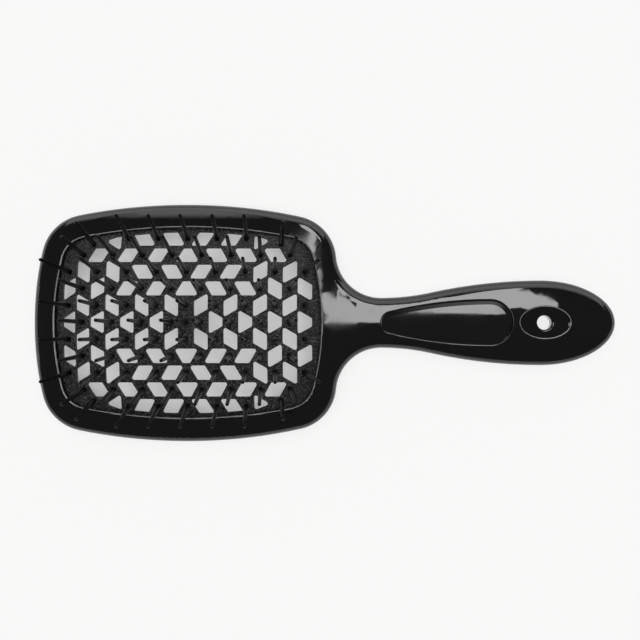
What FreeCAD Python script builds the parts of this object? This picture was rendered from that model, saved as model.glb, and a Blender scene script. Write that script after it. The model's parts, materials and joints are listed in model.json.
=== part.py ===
"""Vent brush: a one-piece frame and handle, a domed see-through pad, flexible pins and a handle inlay.

The brush lies on its back with the pins up. X runs from the head's tip to the handle's end, Y across
the head, and Z up through the pins. The origin is under the middle of the brush's box, on the table.
"""
import FreeCAD, Part
import math
import os
import Sketcher

os.makedirs("parts", exist_ok=True)
doc = FreeCAD.newDocument("vent_brush")

# Driving dimensions, in millimetres and degrees
SIZES = {
    # Stretches along the brush, which add up to its length
    "tip_to_head": 56.7,
    "head_to_neck": 71.9,
    "neck_to_grip": 58.9,
    "grip_to_tail": 27.5,
    # Outline of the frame and handle, seen from the pins
    "head_half_width": 43.95,
    "tip_edge_radius": 104.0,
    "side_edge_radius": 193.0,
    "tip_corner_radius": 17.7,
    "shoulder_radius": 16.7,
    "neck_half_width": 9.25,
    "neck_fillet_radius": 16.7,
    "waist_radius": 85.0,
    "grip_half_width": 15.7,
    # Heights and arches of the frame's front, and its rounded edges
    "ring_height": 10.8,
    "neck_height": 11.5,
    "grip_height": 12.8,
    "tail_height": 11.0,
    "neck_run_up": 27.1,
    "neck_run_out": 12.9,
    "neck_crown_radius": 45.0,
    "grip_crown_radius": 36.0,
    "ring_crown_radius": 12.0,
    "ring_crown_inset": 1.0,
    "ring_fade": 18.0,
    "front_round": 4.4,
    "back_round": 4.0,
    # Window in the head, its lip and the groove that holds the pad
    "window_shift": 1.1,
    "tip_band": 8.8,
    "side_band": 8.95,
    "window_end_radius": 94.7,
    "window_side_radius": 197.0,
    "window_corner_radius": 10.1,
    "lip_round": 0.45,
    "window_back_round": 1.5,
    "groove_floor": 5.4,
    "groove_depth": 1.3,
    "groove_play": 0.1,
    # Hang hole in its dish
    "dish_shift": 1.1,
    "dish_half_length": 9.2,
    "dish_half_width": 5.75,
    "dish_depth": 3.0,
    "back_dish_depth": 3.0,
    "hang_hole_diameter": 5.25,
    "hang_hole_round": 0.8,
    "rim_round": 0.35,
    # Inlay plate in the handle
    "inlay_length": 48.1,
    "inlay_nose_radius": 3.9,
    "inlay_tail_radius": 8.2,
    "inlay_floor": 9.4,
    "inlay_sink": 0.25,
    "inlay_bevel_width": 1.6,
    "inlay_bevel_drop": 0.5,
    "inlay_gap": 0.1,
    # Domed pad
    "pad_crown_height": 15.6,
    "pad_thickness": 2.0,
    "pad_side_drop": 6.4,
    "pad_flat_half_length": 33.0,
    "pad_end_radius": 20.0,
    "pad_gap": 0.9,
    "pad_skirt": 0.6,
    "pad_rim": 0.75,
    "flange_thickness": 1.4,
    "flange_reach": 1.1,
    # Lattice of pins and vents on the pad
    "half_pitch": 5.37,
    "row_pitch": 6.13,
    "corner_pin_x": 34.2,
    "corner_pin_y": 28.6,
    "vent_side": 6.0,
    "vent_width": 5.2,
    "vent_lean": 3.0,
    "vent_corner_radius": 0.75,
    # Pins, their feet and the play of the feet in the pad
    "pin_length": 18.3,
    "pin_root_diameter": 1.8,
    "pin_waist_diameter": 1.51,
    "pin_tip_diameter": 1.25,
    "pin_foot_diameter": 0.9,
    "pin_foot_depth": 0.8,
    "pin_side_play": 0.15,
    "pin_floor_play": 0.1,
    "pin_fan_radius": 336.0,
    "pin_end_fan_radius": 46.0,
}
sheet = doc.addObject("Spreadsheet::Sheet", "Sizes")
for row, (alias, value) in enumerate(SIZES.items(), start=1):
    sheet.set(f"A{row}", alias)
    sheet.set(f"B{row}", str(value))
    sheet.setAlias(f"B{row}", alias)
doc.recompute()


def size(alias):
    """A driving dimension as the sheet holds it."""
    return float(sheet.get(alias))


def vec(x, y, z=0.0):
    return FreeCAD.Vector(x, y, z)


def total(terms):
    """The sum of named sizes, each with its sign, as in ("-pad_gap", "-pad_rim")."""
    return sum(size(t[1:]) * (1 if t[0] == "+" else -1) for t in terms)


def formula(terms):
    """The same sum as the end of an expression on the sheet."""
    return " ".join(f"{t[0]} Sizes.{t[1:]}" for t in terms)


# Places along X, worked out from the stretches between them
STRETCHES = ("tip_to_head", "head_to_neck", "neck_to_grip", "grip_to_tail")
PLACES = ("tip", "head", "neck", "grip", "tail")


def place(name):
    """X of a place along the brush, from the middle of its length."""
    number = PLACES.index(name)
    return (sum(map(size, STRETCHES[:number])) - sum(map(size, STRETCHES[number:]))) / 2


def place_formula(name):
    """The same place as an expression on the sheet."""
    number = PLACES.index(name)
    signs = "+" * number + "-" * (len(STRETCHES) - number)
    return "(0 " + " ".join(f"{sign} Sizes.{s}" for sign, s in zip(signs, STRETCHES)) + ") / 2"


WINDOW_X = f"({place_formula('head')} + Sizes.window_shift)"
WINDOW_HALF_LENGTH = "(Sizes.tip_to_head + Sizes.window_shift - Sizes.tip_band)"
WINDOW_HALF_WIDTH = "(Sizes.head_half_width - Sizes.side_band)"


def window_x():
    return place("head") + size("window_shift")


def window_half_length():
    return size("tip_to_head") + size("window_shift") - size("tip_band")


def window_half_width():
    return size("head_half_width") - size("side_band")


def spread(stops, counts):
    """Places from stop to stop, with each stretch cut into a count of equal steps."""
    places = [stops[0]]
    for start, stop, count in zip(stops, stops[1:], counts):
        places += [start + (stop - start) * step / count for step in range(1, count + 1)]
    return places


def block_under(name, xs, ys, height):
    """A block below a smooth surface drawn through a grid of heights."""
    surface = Part.BSplineSurface()
    surface.interpolate([[vec(x, y, height(x, y)) for y in ys] for x in xs])
    block = doc.addObject("Part::Feature", name)
    block.Shape = surface.toShape().extrude(vec(0, 0, -2 * size("pad_crown_height")))
    return block


# Lattice places in half pitches along a row, for each row counted out from the middle one
ROW_REACH = 5
ROW_PINS = {0: (0, 1, 3, 5), 1: (0, 2, 4, 6), 2: (1, 3, 5), 3: (0, 2, 4, 6), 4: (1, 3, 5), 5: (0, 2, 4)}
END_PINS = {0: (7,), 1: (8,), 2: (7,), 3: (8,), 4: (7,)}
VENTS = {0: (2, 4, 6, 8), 1: (1, 3, 5, 7), 2: (0, 2, 4, 6, 8), 3: (1, 3, 5, 7), 4: (0, 2, 4, 6), 5: (1, 3, 5)}
CORNER_VENT = (5, 5)

# Plane geometry, where a sketch numbers its x axis -1 and an arc's centre 3
X_AXIS = -1
CENTRE = 3


def meet(centre_a, reach_a, centre_b, reach_b, rank):
    """Of the two points at given distances from two centres, the one that rank puts first."""
    gap = centre_b - centre_a
    along = (reach_a ** 2 - reach_b ** 2 + gap.Length ** 2) / (2 * gap.Length)
    across = math.sqrt(reach_a ** 2 - along ** 2)
    unit = gap * (1 / gap.Length)
    foot = centre_a + unit * along
    side = vec(-unit.y, unit.x) * across
    return max((foot + side, foot - side), key=rank)


def towards(start, end, distance):
    """The point that lies a distance from start on the way to end."""
    way = end - start
    return start + way * (distance / way.Length)


def draw_arc(sketch, centre, start, end, clockwise=False):
    """Add an arc, and give its number with the numbers of its first and last points."""
    first, last = (end, start) if clockwise else (start, end)
    angles = [math.atan2((p - centre).y, (p - centre).x) for p in (first, last)]
    if angles[1] <= angles[0]:
        angles[1] += 2 * math.pi
    circle = Part.Circle(centre, vec(0, 0, 1), (start - centre).Length)
    number = sketch.addGeometry(Part.ArcOfCircle(circle, *angles), False)
    return (number, 2, 1) if clockwise else (number, 1, 2)


def draw_line(sketch, start, end):
    return sketch.addGeometry(Part.LineSegment(start, end), False), 1, 2


def join(sketch, kind, before, after):
    """Tie the end of one stretch of an outline to the start of the next, as Coincident or Tangent."""
    sketch.addConstraint(Sketcher.Constraint(kind, before[0], before[2], after[0], after[1]))


def bind(sketch, constraint, expression):
    number = sketch.addConstraint(constraint)
    sketch.setExpression(f"Constraints[{number}]", expression)


def bind_radius(sketch, stretch, expression):
    radius = sketch.Geometry[stretch[0]].Radius
    bind(sketch, Sketcher.Constraint("Radius", stretch[0], radius), expression)


def bind_x(sketch, number, position, expression):
    value = sketch.getPoint(number, position).x
    bind(sketch, Sketcher.Constraint("DistanceX", -1, 1, number, position, value), expression)


def bind_y(sketch, number, position, expression):
    value = sketch.getPoint(number, position).y
    bind(sketch, Sketcher.Constraint("DistanceY", -1, 1, number, position, value), expression)


def on_axis(sketch, number, position, axis):
    """Hold a point on one of the sketch's own axes."""
    sketch.addConstraint(Sketcher.Constraint("PointOnObject", number, position, axis))


def origin_plane(body, role):
    return next(f for f in body.Origin.OriginFeatures if f.Role == role)


def sketch_in(body, name, role, height=None):
    """A sketch on one of a body's own planes, moved along the plane's normal by an expression."""
    sketch = body.newObject("Sketcher::SketchObject", name)
    sketch.AttachmentSupport = [(origin_plane(body, role), "")]
    sketch.MapMode = "FlatFace"
    if height:
        sketch.setExpression("AttachmentOffset.Base.z", height)
    return sketch


def free_sketch(name, height):
    """A level sketch by itself, at a height given as an expression."""
    sketch = doc.addObject("Sketcher::SketchObject", name)
    sketch.setExpression("Placement.Base.z", height)
    return sketch


def draw_pillow(sketch, grow=()):
    """The window's outline, four long arcs and four corners, grown all round by named sizes."""
    extra = total(grow)
    middle = vec(window_x(), 0)
    end_radius = size("window_end_radius") + extra
    side_radius = size("window_side_radius") + extra
    corner_radius = size("window_corner_radius") + extra
    end_shift = vec(size("window_end_radius") - window_half_length(), 0)
    side_shift = vec(0, size("window_side_radius") - window_half_width())
    ends = {1: middle - end_shift, -1: middle + end_shift}
    sides = {1: middle - side_shift, -1: middle + side_shift}
    corners, end_stops, side_stops = {}, {}, {}
    for x in (1, -1):
        for y in (1, -1):
            corners[x, y] = meet(
                ends[x], end_radius - corner_radius, sides[y], side_radius - corner_radius,
                lambda p: x * p.x + y * p.y,
            )
            end_stops[x, y] = towards(ends[x], corners[x, y], end_radius)
            side_stops[x, y] = towards(sides[y], corners[x, y], side_radius)
    loop = []
    for turn in (1, -1):
        near, far = (turn, turn), (-turn, turn)
        loop.append(draw_arc(sketch, corners[near], end_stops[near], side_stops[near]))
        loop.append(draw_arc(sketch, sides[turn], side_stops[near], side_stops[far]))
        loop.append(draw_arc(sketch, corners[far], side_stops[far], end_stops[far]))
        loop.append(draw_arc(sketch, ends[-turn], end_stops[far], end_stops[-turn, -turn]))
    for before, after in zip(loop, loop[1:] + loop[:1]):
        join(sketch, "Tangent", before, after)
    for kind, stretch in zip(("corner", "side", "corner", "end") * 2, loop):
        bind_radius(sketch, stretch, f"Sizes.window_{kind}_radius {formula(grow)}")
    reach_x = f"Sizes.window_end_radius - {WINDOW_HALF_LENGTH}"
    reach_y = f"Sizes.window_side_radius - {WINDOW_HALF_WIDTH}"
    for stretch, sign in ((loop[1], "-"), (loop[5], "")):
        bind_x(sketch, stretch[0], CENTRE, WINDOW_X)
        bind_y(sketch, stretch[0], CENTRE, f"{sign}({reach_y})")
    for stretch, sign in ((loop[3], "+"), (loop[7], "-")):
        bind_x(sketch, stretch[0], CENTRE, f"{WINDOW_X} {sign} ({reach_x})")
        on_axis(sketch, stretch[0], CENTRE, X_AXIS)


# Frame and handle in one moulding


def draw_half_outline(sketch):
    """Half of the plan outline, from the head's tip round the head, neck and grip to the tail."""
    tip_radius = size("tip_edge_radius")
    side_radius = size("side_edge_radius")
    corner_radius = size("tip_corner_radius")
    shoulder_radius = size("shoulder_radius")
    fillet_radius = size("neck_fillet_radius")
    waist_radius = size("waist_radius")
    tip = vec(place("tip"), 0)
    tail = vec(place("tail"), 0)
    neck = vec(place("neck"), size("neck_half_width"))
    grip = vec(place("grip"), size("grip_half_width"))
    tip_centre = tip + vec(tip_radius, 0)
    side_centre = vec(place("head"), size("head_half_width") - side_radius)
    fillet_centre = neck + vec(0, fillet_radius)
    waist_centre = neck + vec(0, waist_radius)
    rise = grip.y - neck.y
    grip_radius = ((grip.x - neck.x) ** 2 / rise + rise) / 2 - waist_radius
    grip_centre = grip - vec(0, grip_radius)
    corner_centre = meet(
        tip_centre, tip_radius - corner_radius, side_centre, side_radius - corner_radius,
        lambda p: p.y - p.x,
    )
    shoulder_centre = meet(
        side_centre, side_radius - shoulder_radius, fillet_centre, fillet_radius + shoulder_radius,
        lambda p: -p.x,
    )
    tip_stop = towards(tip_centre, corner_centre, tip_radius)
    corner_stop = towards(side_centre, corner_centre, side_radius)
    side_stop = towards(side_centre, shoulder_centre, side_radius)
    shoulder_stop = towards(shoulder_centre, fillet_centre, shoulder_radius)
    waist_stop = towards(waist_centre, grip_centre, waist_radius)

    tip_edge = draw_arc(sketch, tip_centre, tip, tip_stop, clockwise=True)
    corner = draw_arc(sketch, corner_centre, tip_stop, corner_stop, clockwise=True)
    side = draw_arc(sketch, side_centre, corner_stop, side_stop, clockwise=True)
    shoulder = draw_arc(sketch, shoulder_centre, side_stop, shoulder_stop, clockwise=True)
    fillet = draw_arc(sketch, fillet_centre, shoulder_stop, neck)
    waist = draw_arc(sketch, waist_centre, neck, waist_stop)
    belly = draw_arc(sketch, grip_centre, waist_stop, grip, clockwise=True)
    round_end = Part.Ellipse(vec(grip.x, 0), tail.x - grip.x, grip.y)
    end = (sketch.addGeometry(Part.ArcOfEllipse(round_end, 0, math.pi / 2), False), 2, 1)
    keel = draw_line(sketch, tail, tip)

    chain = [tip_edge, corner, side, shoulder, fillet]
    for before, after in zip(chain, chain[1:]):
        join(sketch, "Tangent", before, after)
    join(sketch, "Coincident", fillet, waist)
    join(sketch, "Tangent", waist, belly)
    join(sketch, "Coincident", belly, end)
    join(sketch, "Coincident", end, keel)
    join(sketch, "Coincident", keel, tip_edge)
    bind_radius(sketch, tip_edge, "Sizes.tip_edge_radius")
    bind_radius(sketch, corner, "Sizes.tip_corner_radius")
    bind_radius(sketch, side, "Sizes.side_edge_radius")
    bind_radius(sketch, shoulder, "Sizes.shoulder_radius")
    bind_radius(sketch, fillet, "Sizes.neck_fillet_radius")
    bind_radius(sketch, waist, "Sizes.waist_radius")
    bind_x(sketch, tip_edge[0], CENTRE, f"Sizes.tip_edge_radius + {place_formula('tip')}")
    on_axis(sketch, tip_edge[0], CENTRE, X_AXIS)
    bind_x(sketch, side[0], CENTRE, place_formula("head"))
    bind_y(sketch, side[0], CENTRE, "Sizes.head_half_width - Sizes.side_edge_radius")
    for stretch in (fillet, waist):
        bind_x(sketch, stretch[0], CENTRE, place_formula("neck"))
    bind_x(sketch, fillet[0], fillet[2], place_formula("neck"))
    bind_y(sketch, fillet[0], fillet[2], "Sizes.neck_half_width")
    bind_x(sketch, belly[0], CENTRE, place_formula("grip"))
    bind_x(sketch, belly[0], belly[2], place_formula("grip"))
    bind_y(sketch, belly[0], belly[2], "Sizes.grip_half_width")
    bind_x(sketch, keel[0], keel[1], place_formula("tail"))
    on_axis(sketch, keel[0], keel[1], X_AXIS)
    on_axis(sketch, keel[0], keel[2], X_AXIS)


def ease(value, start, stop):
    """A smooth step from nought at start to one at stop."""
    share = min(max((value - start) / (stop - start), 0), 1)
    return share ** 3 * (10 - 15 * share + 6 * share ** 2)


def front_height(x, y):
    """Height of the frame's front: a ring that falls away outward, and an arched neck and handle."""
    ring_end = place("neck") - size("neck_run_up")
    neck_end = place("neck") + size("neck_run_out")
    to_neck = ease(x, ring_end, neck_end)
    to_grip = ease(x, neck_end, place("grip"))
    to_tail = ease(x, place("grip"), place("tail"))
    crest = size("ring_height") + to_neck * (size("neck_height") - size("ring_height"))
    crest += to_grip * (size("grip_height") - size("neck_height"))
    crest += to_tail * (size("tail_height") - size("grip_height"))
    arch = to_neck / size("neck_crown_radius")
    arch += to_grip * (1 / size("grip_crown_radius") - 1 / size("neck_crown_radius"))
    along = max(abs(x - window_x()) - window_half_length() + size("ring_crown_inset"), 0)
    across = max(abs(y) - window_half_width() + size("ring_crown_inset"), 0)
    fall = (along ** 2 + across ** 2) / (2 * size("ring_crown_radius"))
    fall *= 1 - ease(x, ring_end, ring_end + size("ring_fade"))
    return crest - arch * y ** 2 / 2 - fall


def front_crown(name, xs, ys, sink=0.0):
    """A body under a stretch of the frame's front surface, or under the same surface a little lower."""
    body = doc.addObject("PartDesign::Body", name)
    body.BaseFeature = block_under(f"{name}_block", xs, ys, lambda x, y: front_height(x, y) - sink)
    doc.recompute()
    return body


def keep_common(body, name, other):
    """Keep what a body shares with another."""
    common = body.newObject("PartDesign::Boolean", name)
    common.Type = "Common"
    common.setObjects([other])
    body.Tip = common
    doc.recompute()


def facing(face):
    """Which way a face looks: front, back or wall."""
    u0, u1, v0, v1 = face.ParameterRange
    tilt = face.normalAt((u0 + u1) / 2, (v0 + v1) / 2).z
    if abs(tilt) < 0.05:
        return "wall"
    return "front" if tilt > 0 else "back"


def edges_between(shape, way, inside):
    """Names of the edges where walls meet faces that look one way, with middles that pass inside."""
    names = []
    for number, edge in enumerate(shape.Edges, start=1):
        faces = shape.ancestorsOfType(edge, Part.Face)
        middle = edge.valueAt((edge.FirstParameter + edge.LastParameter) / 2)
        if sorted(facing(f) for f in faces) == sorted([way, "wall"]) and inside(middle):
            names.append(f"Edge{number}")
    return names


def round_edges(body, name, way, radius, inside=lambda p: True):
    """Round the edges of a body's last feature that edges_between finds."""
    base = body.Tip
    fillet = body.newObject("PartDesign::Fillet", name)
    fillet.Base = (base, edges_between(base.Shape, way, inside))
    fillet.setExpression("Radius", radius)
    doc.recompute()


def cut_upwards(body, name, sketch, length=None):
    """Cut from a sketch up through the body, or as far up as an expression says."""
    pocket = body.newObject("PartDesign::Pocket", name)
    pocket.Profile = sketch
    pocket.Reversed = True
    if length:
        pocket.setExpression("Length", length)
    else:
        pocket.Type = "ThroughAll"
    doc.recompute()


def draw_dish(sketch):
    """The oval round the hang hole."""
    middle = vec(place("grip") + size("dish_shift"), 0)
    oval = sketch.addGeometry(Part.Ellipse(middle, size("dish_half_length"), size("dish_half_width")), False)
    sketch.exposeInternalGeometry(oval)
    long_axis, short_axis = oval + 1, oval + 2
    bind_x(sketch, oval, CENTRE, f"{place_formula('grip')} + Sizes.dish_shift")
    on_axis(sketch, oval, CENTRE, X_AXIS)
    on_axis(sketch, long_axis, 1, X_AXIS)
    for axis, name in ((long_axis, "dish_half_length"), (short_axis, "dish_half_width")):
        bind(sketch, Sketcher.Constraint("Distance", axis, 2 * size(name)), f"2 * Sizes.{name}")


def draw_inlay(sketch, shrink=()):
    """The teardrop of the inlay: a small nose, a round tail and two long arcs, shrunk by named sizes."""
    less = sum(size(name) for name in shrink)
    nose_radius = size("inlay_nose_radius") - less
    tail_radius = size("inlay_tail_radius") - less
    nose_x = place("neck") + size("inlay_nose_radius")
    tail_x = place("neck") + size("inlay_length") - size("inlay_tail_radius")
    swell = tail_radius - nose_radius
    side_radius = ((tail_x - nose_x) ** 2 / swell + tail_radius + nose_radius) / 2
    nose, tail = vec(nose_x, 0), vec(tail_x, 0)
    tops = {}
    for way in (1, -1):
        centre = vec(tail_x, way * (tail_radius - side_radius))
        tops[way] = (centre, towards(centre, nose, side_radius), vec(tail_x, way * tail_radius))
    upper = draw_arc(sketch, tops[1][0], tops[1][2], tops[1][1])
    front = draw_arc(sketch, nose, tops[1][1], tops[-1][1])
    lower = draw_arc(sketch, tops[-1][0], tops[-1][1], tops[-1][2])
    rear = draw_arc(sketch, tail, tops[-1][2], tops[1][2])
    loop = [upper, front, lower, rear]
    for before, after in zip(loop[:3], loop[1:]):
        join(sketch, "Tangent", before, after)
    join(sketch, "Coincident", rear, upper)
    minus = " ".join(f"- Sizes.{name}" for name in shrink)
    bind_radius(sketch, front, f"Sizes.inlay_nose_radius {minus}")
    bind_radius(sketch, rear, f"Sizes.inlay_tail_radius {minus}")
    neck = place_formula("neck")
    bind_x(sketch, front[0], CENTRE, f"{neck} + Sizes.inlay_nose_radius")
    on_axis(sketch, front[0], CENTRE, X_AXIS)
    bind_x(sketch, rear[0], CENTRE, f"{neck} + Sizes.inlay_length - Sizes.inlay_tail_radius")
    on_axis(sketch, rear[0], CENTRE, X_AXIS)
    for stretch in (upper, lower):
        sketch.addConstraint(Sketcher.Constraint("Vertical", stretch[0], CENTRE, rear[0], CENTRE))


def near_window(point):
    """Whether a point lies by the window."""
    across = abs(point.y) < window_half_width() + size("side_band") / 2
    along = abs(point.x - window_x()) < window_half_length() + size("tip_band") / 2
    return across and along


def near_recess(point):
    """Whether a point is on the rim of the inlay's recess."""
    past_nose = point.x - place("neck")
    along = -size("rim_round") < past_nose < size("inlay_length") + size("rim_round")
    across = abs(point.y) < size("inlay_tail_radius") + size("rim_round")
    return along and across and point.z > size("inlay_floor") + size("rim_round")


def from_hole(point):
    return math.hypot(point.x - place("grip") - size("dish_shift"), point.y)


def near_dish(point):
    """Whether a point is on the rim of the dish in the handle's front."""
    floor = size("grip_height") - size("dish_depth")
    near = from_hole(point) < size("dish_half_length") + size("rim_round")
    return near and point.z > floor + size("rim_round")


def near_hole(point):
    """Whether a point is on the hang hole's rim."""
    return from_hole(point) < size("hang_hole_diameter")


def frame_handle():
    body = doc.addObject("PartDesign::Body", "frame_handle")
    outline = sketch_in(body, "half_outline", "XY_Plane")
    draw_half_outline(outline)
    half = body.newObject("PartDesign::Pad", "half_blank")
    half.Profile = outline
    half.setExpression("Length", "2 * Sizes.grip_height")
    both = body.newObject("PartDesign::Mirrored", "blank")
    both.Originals = [half]
    both.MirrorPlane = (origin_plane(body, "XZ_Plane"), [""])
    body.Tip = both
    doc.recompute()
    left, right = window_x() - window_half_length(), window_x() + window_half_length()
    margin = size("front_round")
    reach_x, reach_y = place("tail") + margin, size("head_half_width") + margin
    band = window_half_width() - margin
    fade_end = place("neck") - size("neck_run_up") + size("ring_fade")
    xs = spread((-reach_x, left + margin, right - margin, fade_end, reach_x), (7, 12, 9, 20))
    ys = spread((-reach_y, -band, band, reach_y), (7, 8, 7))
    keep_common(body, "front_shape", front_crown("front_crown", xs, ys))
    round_edges(body, "front_rounding", "front", "Sizes.front_round")
    round_edges(body, "back_rounding", "back", "Sizes.back_round")

    window = sketch_in(body, "window_outline", "XY_Plane")
    draw_pillow(window)
    cut_upwards(body, "window", window)
    round_edges(body, "lip_rounding", "front", "Sizes.lip_round", near_window)
    round_edges(body, "window_back_rounding", "back", "Sizes.window_back_round", near_window)
    groove = sketch_in(body, "groove_outline", "XY_Plane", "Sizes.groove_floor")
    draw_pillow(groove, ("+groove_depth",))
    cut_upwards(body, "pad_groove", groove, "Sizes.flange_thickness + Sizes.groove_play")

    recess = sketch_in(body, "recess_outline", "XY_Plane", "Sizes.inlay_floor")
    draw_inlay(recess)
    cut_upwards(body, "inlay_recess", recess)
    round_edges(body, "recess_rounding", "front", "Sizes.rim_round", near_recess)
    dish = sketch_in(body, "dish_outline", "XY_Plane", "Sizes.grip_height - Sizes.dish_depth")
    draw_dish(dish)
    cut_upwards(body, "dish", dish)
    round_edges(body, "dish_rounding", "front", "Sizes.rim_round", near_dish)
    back_dish = sketch_in(body, "back_dish_outline", "XY_Plane")
    draw_dish(back_dish)
    cut_upwards(body, "back_dish", back_dish, "Sizes.back_dish_depth")
    hole = sketch_in(body, "hang_hole_outline", "XY_Plane")
    centre = vec(place("grip") + size("dish_shift"), 0)
    rim = hole.addGeometry(Part.Circle(centre, vec(0, 0, 1), size("hang_hole_diameter") / 2), False)
    bind(hole, Sketcher.Constraint("Diameter", rim, size("hang_hole_diameter")), "Sizes.hang_hole_diameter")
    bind_x(hole, rim, CENTRE, f"{place_formula('grip')} + Sizes.dish_shift")
    on_axis(hole, rim, CENTRE, X_AXIS)
    cut_upwards(body, "hang_hole", hole)
    for way in ("front", "back"):
        round_edges(body, f"hang_hole_{way}_rounding", way, "Sizes.hang_hole_round", near_hole)
    return body


# Inlay plate in the handle


def handle_inlay():
    body = doc.addObject("PartDesign::Body", "handle_inlay")
    outline = sketch_in(body, "inlay_outline", "XY_Plane", "Sizes.inlay_floor")
    draw_inlay(outline, ("inlay_gap",))
    blank = body.newObject("PartDesign::Pad", "inlay_blank")
    blank.Profile = outline
    blank.setExpression("Length", "Sizes.grip_height - Sizes.inlay_floor")
    body.Tip = blank
    doc.recompute()
    margin = size("inlay_nose_radius")
    reach_y = size("inlay_tail_radius") + margin
    xs = spread((place("neck") - margin, place("neck") + size("inlay_length") + margin), (12,))
    ys = spread((-reach_y, reach_y), (6,))
    keep_common(body, "inlay_front", front_crown("inlay_crown", xs, ys, size("inlay_sink")))
    bevel = body.newObject("PartDesign::Chamfer", "inlay_bevel")
    base = doc.getObject("inlay_front")
    bevel.Base = (base, edges_between(base.Shape, "front", lambda p: True))
    bevel.ChamferType = "Two distances"
    bevel.setExpression("Size", "Sizes.inlay_bevel_drop")
    bevel.setExpression("Size2", "Sizes.inlay_bevel_width")
    doc.recompute()
    return body


# Domed pad with its flange and vents
PAD_ARCH_POWER = 2.5


def pillow_prism(name, grow, low, height):
    """A block with the window's outline, grown by named sizes, from a low level up by a height."""
    outline = free_sketch(f"{name}_outline", low)
    draw_pillow(outline, grow)
    block = doc.addObject("Part::Extrusion", name)
    block.Base = outline
    block.DirMode = "Normal"
    block.setExpression("LengthFwd", height)
    block.Solid = True
    return block


def pad_share(y):
    """How far across the pad a place lies, from nought in the middle to one at its edge."""
    return abs(y) / (window_half_width() - size("pad_gap"))


def pad_top(x, y):
    """Height of the pad's top at a place measured from the window's middle."""
    beyond = max(abs(x) - size("pad_flat_half_length"), 0)
    drop = size("pad_side_drop") * pad_share(y) ** PAD_ARCH_POWER
    return size("pad_crown_height") - drop - beyond ** 2 / (2 * size("pad_end_radius"))


def dome(name, less=0.0):
    """The space under the pad's top, which is arched across and rolled down at both ends."""
    reach_x = window_half_length() + size("flange_reach")
    reach_y = window_half_width() + size("flange_reach")
    xs = spread((window_x() - reach_x, window_x() + reach_x), (24,))
    ys = spread((-reach_y, reach_y), (16,))
    return block_under(name, xs, ys, lambda x, y: pad_top(x - window_x(), y) - less)


def vent_corners(u, v):
    """Corners of the vent at a lattice place, about its own middle, for the head's upper left quarter."""
    long_half = (size("vent_side") + size("vent_lean")) / 2
    short_half = (size("vent_side") - size("vent_lean")) / 2
    half = size("vent_width") / 2
    if v == 0:
        return [(-half, short_half), (-half, -short_half), (half, -long_half), (half, long_half)]
    if u == 0:
        return [(-long_half, -half), (long_half, -half), (short_half, half), (-short_half, half)]
    if (u, v) == CORNER_VENT:
        return [(-half - short_half / 2, -short_half / 2), (half, -long_half), (half, short_half)]
    lean = 1 if v % 2 == 0 else -1
    if v >= 2 and u <= 4 or (u, v) == (6, 4):
        corners = [(-long_half, -half), (short_half, -half), (long_half, half), (-short_half, half)]
    else:
        corners = [(-half, -long_half), (half, -short_half), (half, long_half), (-half, short_half)]
    return [(lean * x, y) for x, y in corners]


def vent(u, v):
    """A block that cuts one vent through the pad."""
    flip_x, flip_y = (-1 if u > 0 else 1), (-1 if v < 0 else 1)
    middle = vec(u * size("half_pitch") + window_x(), v * size("row_pitch"))
    corners = [middle + vec(flip_x * x, flip_y * y) for x, y in vent_corners(abs(u), abs(v))]
    outline = Part.Face(Part.makePolygon(corners + corners[:1]))
    block = outline.extrude(vec(0, 0, 2 * size("pad_crown_height")))
    upright = [e for e in block.Edges if abs(e.tangentAt(e.FirstParameter).z) > 0.5]
    return block.makeFillet(size("vent_corner_radius"), upright)


def both_signs(numbers):
    return sorted({sign * n for n in numbers for sign in (1, -1)})


def solids(name, shapes):
    """One object that holds several shapes worked out by a loop."""
    group = doc.addObject("Part::Feature", name)
    group.Shape = Part.makeCompound(shapes)
    return group


def combine(kind, name, shapes):
    """A common or a fusion of several shapes."""
    result = doc.addObject(f"Part::Multi{kind}", name)
    result.Shapes = shapes
    return result


def cut(name, base, tool):
    result = doc.addObject("Part::Cut", name)
    result.Base = base
    result.Tool = tool
    return result


def vent_pad():
    dome_space = dome("pad_dome")
    hollow_dome = dome("pad_hollow_dome", size("pad_thickness"))
    block = pillow_prism("pad_block", ("-pad_gap",), "Sizes.groove_floor", "Sizes.pad_crown_height")
    hollow_block = pillow_prism("pad_hollow_block", ("-pad_gap", "-pad_skirt"), "0", "Sizes.pad_crown_height")
    flange = pillow_prism("pad_flange", ("+flange_reach",), "Sizes.groove_floor", "Sizes.flange_thickness")
    top = combine("Common", "pad_top", [dome_space, block])
    hollow = combine("Common", "pad_hollow", [hollow_dome, hollow_block])
    shell = cut("pad_shell", combine("Fuse", "pad_blank", [top, flange]), hollow)
    full = solids("full_vents", [vent(u, v) for v in both_signs(VENTS) for u in both_signs(VENTS[abs(v)])])
    reach = pillow_prism("vent_reach", ("-pad_gap", "-pad_rim"), "0", "2 * Sizes.pad_crown_height")
    vents = combine("Common", "pad_vents", [full, reach])
    sockets = solids("pin_sockets", [socket(root) for root in all_roots()])
    pad = cut("vent_pad", cut("vented_pad", shell, vents), sockets)
    doc.recompute()
    return pad


# Pins, each row in one object and the pair beyond its ends in another


def pin_roots(v, places):
    """Where the pins of one row stand, from lattice places along the row."""
    spots = [vec(u * size("half_pitch"), v * size("row_pitch")) for u in both_signs(places)]
    return [spot + vec(window_x(), 0, pad_top(spot.x, spot.y)) for spot in spots]


def end_roots(v):
    """Where the two pins beyond a row's ends stand, drawn in from the lattice at the pad's corners."""
    if abs(v) in END_PINS:
        return pin_roots(v, END_PINS[abs(v)])
    x, y = size("corner_pin_x"), math.copysign(size("corner_pin_y"), v)
    return [vec(side * x + window_x(), y, pad_top(x, y)) for side in (-1, 1)]


def all_roots():
    rows = range(-ROW_REACH, ROW_REACH + 1)
    return [root for v in rows for root in pin_roots(v, ROW_PINS[abs(v)]) + end_roots(v)]


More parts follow.
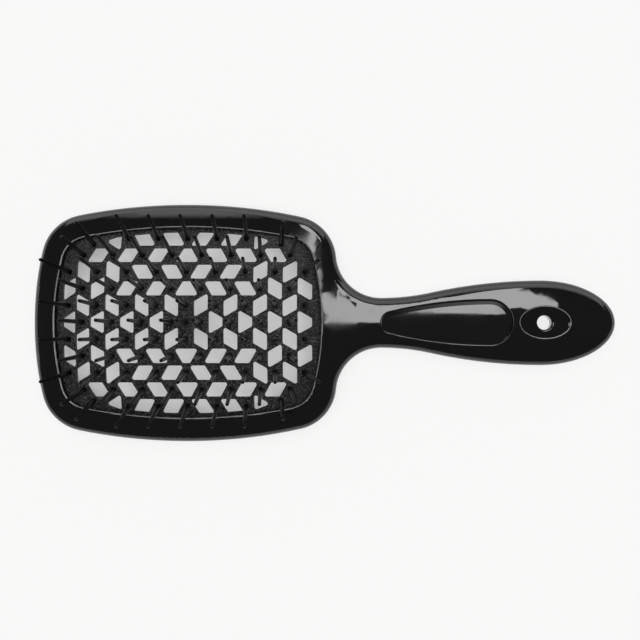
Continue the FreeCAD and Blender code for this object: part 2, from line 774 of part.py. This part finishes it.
def lean_of(root):
    """Direction of a pin: square to the pad's arch, and fanned out along the head."""
    x, y = root.x - window_x(), root.y
    beyond = max(abs(x) - size("pad_flat_half_length"), 0)
    fan = abs(x) / size("pin_fan_radius") + math.asin(beyond / size("pin_end_fan_radius"))
    half_width = window_half_width() - size("pad_gap")
    slope = PAD_ARCH_POWER * size("pad_side_drop") / half_width * pad_share(y) ** (PAD_ARCH_POWER - 1)
    return vec(math.copysign(math.tan(fan), x), math.copysign(slope, y), 1).normalize()


def socket(root):
    """A tapered pocket in the pad, in which the foot of a pin can lean."""
    foot = size("pin_foot_diameter") / 2 + size("pin_side_play")
    mouth = size("pin_root_diameter") / 2 + size("pin_side_play")
    depth = size("pin_foot_depth") + size("pin_floor_play")
    way = lean_of(root)
    return Part.makeCone(foot, 2 * mouth - foot, 2 * depth, root - way * depth, way)


def master_pin():
    """A slim tapered pin with a round tip on a short tapered foot, standing at the origin."""
    root, waist, tip, foot = (size(f"pin_{part}_diameter") / 2 for part in ("root", "waist", "tip", "foot"))
    length = size("pin_length")
    base = vec(0, 0, -size("pin_foot_depth"))
    shoulder = length - tip
    side = Part.BSplineCurve()
    side.interpolate([vec(root, 0, 0), vec(waist, 0, shoulder / 2), vec(tip, 0, shoulder)])
    slant = tip * math.sqrt(0.5)
    tip_round = Part.BSplineCurve()
    tip_round.interpolate([vec(tip, 0, shoulder), vec(slant, 0, shoulder + slant), vec(0, 0, length)])
    edges = [
        Part.makeLine(base, base + vec(foot, 0)), Part.makeLine(base + vec(foot, 0), vec(root, 0, 0)),
        side.toShape(), tip_round.toShape(), Part.makeLine(vec(0, 0, length), base),
    ]
    pin = doc.addObject("Part::Feature", "pin")
    pin.Shape = Part.Face(Part.Wire(edges)).revolve(vec(0, 0), vec(0, 0, 1), 360)
    return pin


def pins(name, roots, pin):
    """Copies of the pin on their roots."""
    copies = []
    for root in roots:
        copy = pin.Shape.copy()
        copy.Placement = FreeCAD.Placement(root, FreeCAD.Rotation(vec(0, 0, 1), lean_of(root)))
        copies.append(copy)
    return solids(name, copies)


# Build the sub-parts
pin = master_pin()
subparts = [frame_handle(), handle_inlay(), vent_pad()]
for v in range(-ROW_REACH, ROW_REACH + 1):
    number = v + ROW_REACH + 1
    subparts.append(pins(f"pin_row_{number:02d}", pin_roots(v, ROW_PINS[abs(v)]), pin))
    subparts.append(pins(f"pin_ends_{number:02d}", end_roots(v), pin))
doc.recompute()

# Check every object and every shape, then write one file for each sub-part
faults = [o.Name for o in doc.Objects if {"Invalid", "Error"} & set(o.State)]
faults += [p.Name for p in subparts if p.Shape.isNull() or not p.Shape.isValid()]
if faults:
    raise RuntimeError("faulty objects: " + ", ".join(faults))
for subpart in subparts:
    subpart.Label = subpart.Name
    subpart.Shape.exportStep(f"parts/{subpart.Name}.step")
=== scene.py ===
"""Looks of the vent brush: polished black ring and handle, grained pad, satin pins, on a white table."""
import bpy
import json
import math
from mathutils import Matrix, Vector


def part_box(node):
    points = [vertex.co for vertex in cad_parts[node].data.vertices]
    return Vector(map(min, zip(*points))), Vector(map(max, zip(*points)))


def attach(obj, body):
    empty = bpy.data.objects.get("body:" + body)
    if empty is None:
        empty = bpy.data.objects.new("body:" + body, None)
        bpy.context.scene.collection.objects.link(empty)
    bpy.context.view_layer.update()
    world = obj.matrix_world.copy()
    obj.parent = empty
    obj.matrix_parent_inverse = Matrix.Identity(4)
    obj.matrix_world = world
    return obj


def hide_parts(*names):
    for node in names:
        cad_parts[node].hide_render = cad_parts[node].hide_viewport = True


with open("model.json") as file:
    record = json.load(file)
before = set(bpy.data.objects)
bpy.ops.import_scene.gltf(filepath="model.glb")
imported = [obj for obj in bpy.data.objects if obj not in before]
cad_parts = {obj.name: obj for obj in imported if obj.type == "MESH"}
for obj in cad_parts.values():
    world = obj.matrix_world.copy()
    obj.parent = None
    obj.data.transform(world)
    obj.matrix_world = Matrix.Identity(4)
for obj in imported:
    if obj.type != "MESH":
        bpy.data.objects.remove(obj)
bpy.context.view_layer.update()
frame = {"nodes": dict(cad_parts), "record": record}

# Frame and handle
# One injection moulding of black plastic, polished in the mould, with ring, neck and grip in one run.
# It has no seam, so a merged copy of the solid, with the solid's own normals, stands for it as one skin.
# The narrow edges of its lip and of the dish round its hang hole are painted pale grey: a painted
# highlight for the light these edges catch.
FRAME_WELD = 0.000001
FRAME_BLACK = (0.006, 0.006, 0.0065, 1)
PLASTIC_IOR = 1.5
WIPE_DETAIL = 4.0
WIPE_FAINTEST = 0.35
WIPE_STRONGEST = 0.7
WAVE_DETAIL = 1.0
WAVE_STRENGTH = 0.02
WAVE_DEPTH = 0.0005
# Pale grey painted on the lip and dish rim edges as a painted highlight.
EDGE_HIGHLIGHT_GREY = (0.36, 0.36, 0.36, 1)
EDGE_HIGHLIGHT_SLOT = 1
LIP_HEIGHT = 0.0095
LIP_END = 0.002
LIP_LEAN = 0.2
DISH_HALF_LENGTH = 0.0092
DISH_HALF_WIDTH = 0.00575
DISH_RIM = 1.1
DISH_RIM_STEEPEST = 0.3
DISH_RIM_FLATTEST = 0.93


def finish_for(slot, name):
    """A new material for one of the record's slots, with its node tree and its shader."""
    material = bpy.data.materials.new(name)
    material.use_nodes = True
    material["slot"] = slot
    return material, material.node_tree, material.node_tree.nodes["Principled BSDF"]


def new_effect(name, inputs, outputs):
    """A node group with named inputs at their usual values, and its two end nodes."""
    group = bpy.data.node_groups.new(name, "ShaderNodeTree")
    for label, value in inputs.items():
        kind = "NodeSocketColor" if isinstance(value, tuple) else "NodeSocketFloat"
        group.interface.new_socket(label, in_out="INPUT", socket_type=kind).default_value = value
    for label, kind in outputs.items():
        group.interface.new_socket(label, in_out="OUTPUT", socket_type=kind)
    return group, group.nodes.new("NodeGroupInput"), group.nodes.new("NodeGroupOutput")


def place_effect(tree, group, **values):
    """Put an effect into a material with the material's own values."""
    node = tree.nodes.new("ShaderNodeGroup")
    node.node_tree = group
    for label, value in values.items():
        node.inputs[label.replace("_", " ")].default_value = value
    return node


def add_bump(tree, shader, height, strength, distance):
    """Let a height of the surface tilt the shader's normal."""
    bump = tree.nodes.new("ShaderNodeBump")
    bump.inputs["Strength"].default_value = strength
    bump.inputs["Distance"].default_value = distance
    tree.links.new(height, bump.inputs["Height"])
    tree.links.new(bump.outputs["Normal"], shader.inputs["Normal"])


def polish_marks():
    """Wiping marks in the gloss of a polished moulding, and the faint waves that it cooled with."""
    inputs = {"Mark Scale": 60.0, "Wave Scale": 45.0, "Clearest": 0.03, "Dullest": 0.09}
    outputs = {"Roughness": "NodeSocketFloat", "Height": "NodeSocketFloat"}
    group, given, out = new_effect("polish_marks", inputs, outputs)
    place = group.nodes.new("ShaderNodeTexCoord")
    marks = group.nodes.new("ShaderNodeTexNoise")
    marks.inputs["Detail"].default_value = WIPE_DETAIL
    waves = group.nodes.new("ShaderNodeTexNoise")
    waves.inputs["Detail"].default_value = WAVE_DETAIL
    spread = group.nodes.new("ShaderNodeMapRange")
    spread.inputs["From Min"].default_value = WIPE_FAINTEST
    spread.inputs["From Max"].default_value = WIPE_STRONGEST
    for texture, label in ((marks, "Mark Scale"), (waves, "Wave Scale")):
        group.links.new(place.outputs["Object"], texture.inputs["Vector"])
        group.links.new(given.outputs[label], texture.inputs["Scale"])
    group.links.new(marks.outputs["Fac"], spread.inputs["Value"])
    group.links.new(given.outputs["Clearest"], spread.inputs["To Min"])
    group.links.new(given.outputs["Dullest"], spread.inputs["To Max"])
    group.links.new(spread.outputs["Result"], out.inputs["Roughness"])
    group.links.new(waves.outputs["Fac"], out.inputs["Height"])
    return group


polish = polish_marks()


def polished(slot, name, colour, **values):
    """Polished plastic of one colour, with its own wiping marks."""
    material, tree, shader = finish_for(slot, name)
    shader.inputs["Base Color"].default_value = colour
    shader.inputs["IOR"].default_value = PLASTIC_IOR
    marks = place_effect(tree, polish, **values)
    tree.links.new(marks.outputs["Roughness"], shader.inputs["Roughness"])
    add_bump(tree, shader, marks.outputs["Height"], WAVE_STRENGTH, WAVE_DEPTH)
    return material


frame_solid = frame["nodes"]["frame_handle"]
skin = frame_solid.copy()
skin.data = frame_solid.data.copy()
skin.name = "frame_skin"
bpy.context.scene.collection.objects.link(skin)
for key in list(skin.keys()):
    del skin[key]
skin.parent = None
bpy.ops.object.select_all(action="DESELECT")
skin.select_set(True)
bpy.context.view_layer.objects.active = skin
moulded = skin.data.attributes.new("moulded_normal", "FLOAT_VECTOR", "CORNER")
moulded.data.foreach_set("vector", [part for corner in skin.data.corner_normals for part in corner.vector])
bpy.ops.object.mode_set(mode="EDIT")
bpy.ops.mesh.select_all(action="SELECT")
bpy.ops.mesh.remove_doubles(threshold=FRAME_WELD)
bpy.ops.mesh.customdata_custom_splitnormals_clear()
bpy.ops.object.mode_set(mode="OBJECT")
bpy.ops.object.shade_smooth()
moulded_normals = [corner.vector.copy() for corner in skin.data.attributes["moulded_normal"].data]
skin.data.attributes.remove(skin.data.attributes["moulded_normal"])
skin.data.normals_split_custom_set(moulded_normals)
skin.data.materials.clear()
skin.data.materials.append(polished("frame", "polished_black", FRAME_BLACK))
# A second, pale grey material: the painted highlight on the lip and dish rim edges.
skin.data.materials.append(
    polished("frame", "painted_edge_highlight", EDGE_HIGHLIGHT_GREY, Mark_Scale=300.0, Clearest=0.25, Dullest=0.45)
)
pad_low, pad_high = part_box("vent_pad")
head_middle = (pad_low + pad_high) / 2
hole = next(Vector(mount["pos_m"]) for mount in frame["record"]["mounts"] if mount["name"] == "hang_hole")
# Faces of the lip's edge and the dish rim take the painted highlight material.
for face in skin.data.polygons:
    place, lean = face.center, face.normal
    inward = Vector((head_middle.x - place.x, head_middle.y - place.y, 0)).normalized()
    on_ring = place.z > LIP_HEIGHT and place.x < LIP_END
    on_lip = on_ring and lean.z > LIP_LEAN and lean.dot(inward) > LIP_LEAN
    out_from_hole = math.hypot((place.x - hole.x) / DISH_HALF_LENGTH, place.y / DISH_HALF_WIDTH)
    by_dish = place.z > hole.z and 1 < out_from_hole < DISH_RIM
    on_rim = by_dish and DISH_RIM_STEEPEST < lean.z < DISH_RIM_FLATTEST
    if on_lip or on_rim:
        face.material_index = EDGE_HIGHLIGHT_SLOT
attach(skin, "frame")
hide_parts("frame_handle")

# Handle inlay
# A thin moulded plate of the same black plastic with a bevelled edge, pressed into its recess.
# Its face is bare, and a little duller than the frame's.
INLAY_BLACK = (0.007, 0.007, 0.0075, 1)
inlay = frame["nodes"]["handle_inlay"]
inlay.data.materials.clear()
inlay.data.materials.append(polished("inlay", "inlay_black", INLAY_BLACK, Clearest=0.05, Dullest=0.1))

# Vent pad
# A flexible moulding of dark grey plastic that clips into the ring's groove by its flange.
# The mould was spark-eroded, so its face has a fine matte grain of pits and peaks that glint.
PAD_PIT = (0.003, 0.003, 0.0032, 1)
PAD_PEAK = (0.11, 0.11, 0.112, 1)
PAD_SHINE = 0.5
PAD_GRAIN_STRENGTH = 1.0
PAD_GRAIN_DEPTH = 0.0003
GRAIN_DETAIL = 2.0
GRAIN_FINENESS = 0.6
GRAIN_LOWEST = 0.46
GRAIN_HIGHEST = 0.64


def spark_grain():
    """Pits and peaks that a spark-eroded mould leaves: a speckled colour, a gloss and a height."""
    inputs = {"Scale": 1900.0, "Pit": PAD_PIT, "Peak": PAD_PEAK, "Glossiest": 0.4, "Dullest": 0.65}
    outputs = {"Color": "NodeSocketColor", "Roughness": "NodeSocketFloat", "Height": "NodeSocketFloat"}
    group, given, out = new_effect("spark_grain", inputs, outputs)
    place = group.nodes.new("ShaderNodeTexCoord")
    pits = group.nodes.new("ShaderNodeTexNoise")
    pits.inputs["Detail"].default_value = GRAIN_DETAIL
    pits.inputs["Roughness"].default_value = GRAIN_FINENESS
    stretch = group.nodes.new("ShaderNodeMapRange")
    stretch.inputs["From Min"].default_value = GRAIN_LOWEST
    stretch.inputs["From Max"].default_value = GRAIN_HIGHEST
    gloss = group.nodes.new("ShaderNodeMapRange")
    speckle = group.nodes.new("ShaderNodeMix")
    speckle.data_type = "RGBA"
    group.links.new(place.outputs["Object"], pits.inputs["Vector"])
    group.links.new(given.outputs["Scale"], pits.inputs["Scale"])
    group.links.new(pits.outputs["Fac"], stretch.inputs["Value"])
    group.links.new(stretch.outputs["Result"], gloss.inputs["Value"])
    group.links.new(given.outputs["Dullest"], gloss.inputs["To Min"])
    group.links.new(given.outputs["Glossiest"], gloss.inputs["To Max"])
    group.links.new(stretch.outputs["Result"], speckle.inputs["Factor"])
    group.links.new(given.outputs["Pit"], speckle.inputs["A"])
    group.links.new(given.outputs["Peak"], speckle.inputs["B"])
    group.links.new(speckle.outputs["Result"], out.inputs["Color"])
    group.links.new(gloss.outputs["Result"], out.inputs["Roughness"])
    group.links.new(stretch.outputs["Result"], out.inputs["Height"])
    return group


grain = spark_grain()


def grained(slot, name, shine, strength, depth, **values):
    """Plastic from a spark-eroded mould, with its own grain and shine."""
    material, tree, shader = finish_for(slot, name)
    shader.inputs["Specular IOR Level"].default_value = shine
    effect = place_effect(tree, grain, **values)
    tree.links.new(effect.outputs["Color"], shader.inputs["Base Color"])
    tree.links.new(effect.outputs["Roughness"], shader.inputs["Roughness"])
    add_bump(tree, shader, effect.outputs["Height"], strength, depth)
    return material


pad = frame["nodes"]["vent_pad"]
pad.data.materials.clear()
pad.data.materials.append(
    grained("pad", "spark_grained_grey", PAD_SHINE, PAD_GRAIN_STRENGTH, PAD_GRAIN_DEPTH)
)

# Pins
# Slim tapered pins of black nylon with round tips, moulded all of one shape and set in the pad.
# Their mould is smoother than the pad's, so they are darker, with a satin gleam on the tips.
PIN_PIT = (0.002, 0.002, 0.0021, 1)
PIN_PEAK = (0.004, 0.004, 0.0042, 1)
PIN_SHINE = 0.2
PIN_GRAIN_STRENGTH = 0.15
PIN_GRAIN_DEPTH = 0.00003
satin = grained(
    "pins", "satin_black", PIN_SHINE, PIN_GRAIN_STRENGTH, PIN_GRAIN_DEPTH,
    Scale=5000.0, Pit=PIN_PIT, Peak=PIN_PEAK, Glossiest=0.22, Dullest=0.34,
)
for name, node in frame["nodes"].items():
    if name.startswith("pin_"):
        node.data.materials.clear()
        node.data.materials.append(satin)

# Table
# A white sheet of opal plastic, as product booths have, smooth and dull.
# It is lit a little from below, so that the brush casts next to no shadow.
TABLE_DROP = 0.0002
TABLE_SIDE = 6.0
TABLE_WHITE = (0.8, 0.8, 0.795, 1)
TABLE_DULLNESS = 0.9
TABLE_GLOW_WHITE = (1, 1, 0.995, 1)
TABLE_GLOW = 0.3
bpy.ops.object.select_all(action="DESELECT")
bpy.ops.mesh.primitive_plane_add(size=TABLE_SIDE, location=(0, 0, -TABLE_DROP))
table = bpy.context.object
table.name = "table"
white, tree, shader = finish_for("table", "table_white")
shader.inputs["Base Color"].default_value = TABLE_WHITE
shader.inputs["Roughness"].default_value = TABLE_DULLNESS
shader.inputs["Specular IOR Level"].default_value = 0.0
shader.inputs["Emission Color"].default_value = TABLE_GLOW_WHITE
shader.inputs["Emission Strength"].default_value = TABLE_GLOW
table.data.materials.append(white)

# Studio light
# A bank of level softboxes, the one past the handle with a corner flagged off, and a dim card beside the
# head's far edge, all for gloss alone; the low strip is kept off all but the frame.
# An even fill from above lights the table and the grain, and only the pad and the pins shade it.
SOFTBOX_LEVEL = 0.5
SOFTBOX_GLOW = 27.3
SOFTBOX_SPAN = (0.08, 0.18, 0.22, 0.41)
SOFTBOX_FLAG = {"slant": 1.137, "full": 1.3, "none": 1.48}
STRIP_SPANS = {
    "end_strip": (-0.145, 0.06, 0.0, 0.08),
    "middle_strip": (-0.028, 0.08, 0.01, 0.24),
    "tall_strip": (0.0, 0.1, 0.08, 0.41),
}
LOW_STRIP_SPAN = (-0.16, 0.016, 0.08, 0.06)
CARD_PLACE = Vector((0.1, 1.15, 0.5))
CARD_WIDTH = 2.4
CARD_HEIGHT = 1.1
CARD_POWER = 15.0
CARD_FADE = {"slant": 0.0, "full": 0.6, "none": 1.0}
FILL_PLACE = (0, 0, 1)
FILL_POWER = 2.25
FILL_SPREAD = math.radians(60)
ROOM_GREY = (0.09, 0.09, 0.09, 1)


def area_light(name, place, width, height, power):
    """A rectangular light that shows in gloss alone."""
    bpy.ops.object.light_add(type="AREA", location=place)
    lamp = bpy.context.object
    lamp.name = name
    lamp.visible_diffuse = False
    lamp.data.shape = "RECTANGLE"
    lamp.data.size = width
    lamp.data.size_y = height
    lamp.data.energy = power
    return lamp


def level_softbox(name, span):
    """A softbox that hangs level over part of the table: its left, near, right and far edges."""
    left, near, right, far = span
    middle = ((left + right) / 2, (near + far) / 2, SOFTBOX_LEVEL)
    power = SOFTBOX_GLOW * (right - left) * (far - near)
    return area_light(name, middle, right - left, far - near, power)


def flag_off(lamp, slant, full, none):
    """Fade a light's glow out along a line: full and none are heights at its left edge, as shares."""
    lamp.data.use_nodes = True
    tree = lamp.data.node_tree
    place = tree.nodes.new("ShaderNodeNewGeometry")
    split = tree.nodes.new("ShaderNodeSeparateXYZ")
    slope = tree.nodes.new("ShaderNodeMath")
    slope.operation = "MULTIPLY_ADD"
    slope.inputs[1].default_value = slant
    fade = tree.nodes.new("ShaderNodeMapRange")
    fade.interpolation_type = "SMOOTHSTEP"
    fade.inputs["From Min"].default_value = none
    fade.inputs["From Max"].default_value = full
    tree.links.new(place.outputs["Parametric"], split.inputs["Vector"])
    tree.links.new(split.outputs["X"], slope.inputs[0])
    tree.links.new(split.outputs["Y"], slope.inputs[2])
    tree.links.new(slope.outputs["Value"], fade.inputs["Value"])
    tree.links.new(fade.outputs["Result"], tree.nodes["Emission"].inputs["Strength"])


softbox = level_softbox("softbox", SOFTBOX_SPAN)
flag_off(softbox, **SOFTBOX_FLAG)
for name, span in STRIP_SPANS.items():
    level_softbox(name, span)
low_strip = level_softbox("low_strip", LOW_STRIP_SPAN)
frame_only = bpy.data.collections.new("low_strip_lights")
frame_only.objects.link(skin)
low_strip.light_linking.receiver_collection = frame_only
card = area_light("side_card", CARD_PLACE, CARD_WIDTH, CARD_HEIGHT, CARD_POWER)
card.rotation_euler = (-CARD_PLACE).to_track_quat("-Z", "Y").to_euler()
flag_off(card, **CARD_FADE)
bpy.ops.object.light_add(type="SUN", location=FILL_PLACE)
fill = bpy.context.object
fill.name = "fill"
fill.visible_glossy = False
fill.data.energy = FILL_POWER
fill.data.angle = FILL_SPREAD
shading = bpy.data.collections.new("fill_shading")
for name, node in frame["nodes"].items():
    if name == "vent_pad" or name.startswith("pin_"):
        shading.objects.link(node)
fill.light_linking.blocker_collection = shading
room = bpy.data.worlds.new("room")
room.use_nodes = True
room.node_tree.nodes["Background"].inputs["Color"].default_value = ROOM_GREY
bpy.context.scene.world = room
bpy.context.scene.view_settings.view_transform = "Standard"

# Camera
# A long lens straight above the table, a little towards the neck from the brush's middle.
# A small shift frames the brush as the photograph does.
CAMERA_PLACE = (0.0214, -0.0151, 0.436)
CAMERA_LENS = 65.3
CAMERA_SHIFT_X = -0.0967
CAMERA_SHIFT_Y = 0.0682
CAMERA_NEAREST = 0.01
camera_data = bpy.data.cameras.new("camera")
camera_data.lens = CAMERA_LENS
camera_data.shift_x = CAMERA_SHIFT_X
camera_data.shift_y = CAMERA_SHIFT_Y
camera_data.clip_start = CAMERA_NEAREST
camera = bpy.data.objects.new("camera", camera_data)
camera.location = CAMERA_PLACE
bpy.context.scene.collection.objects.link(camera)
bpy.context.scene.camera = camera
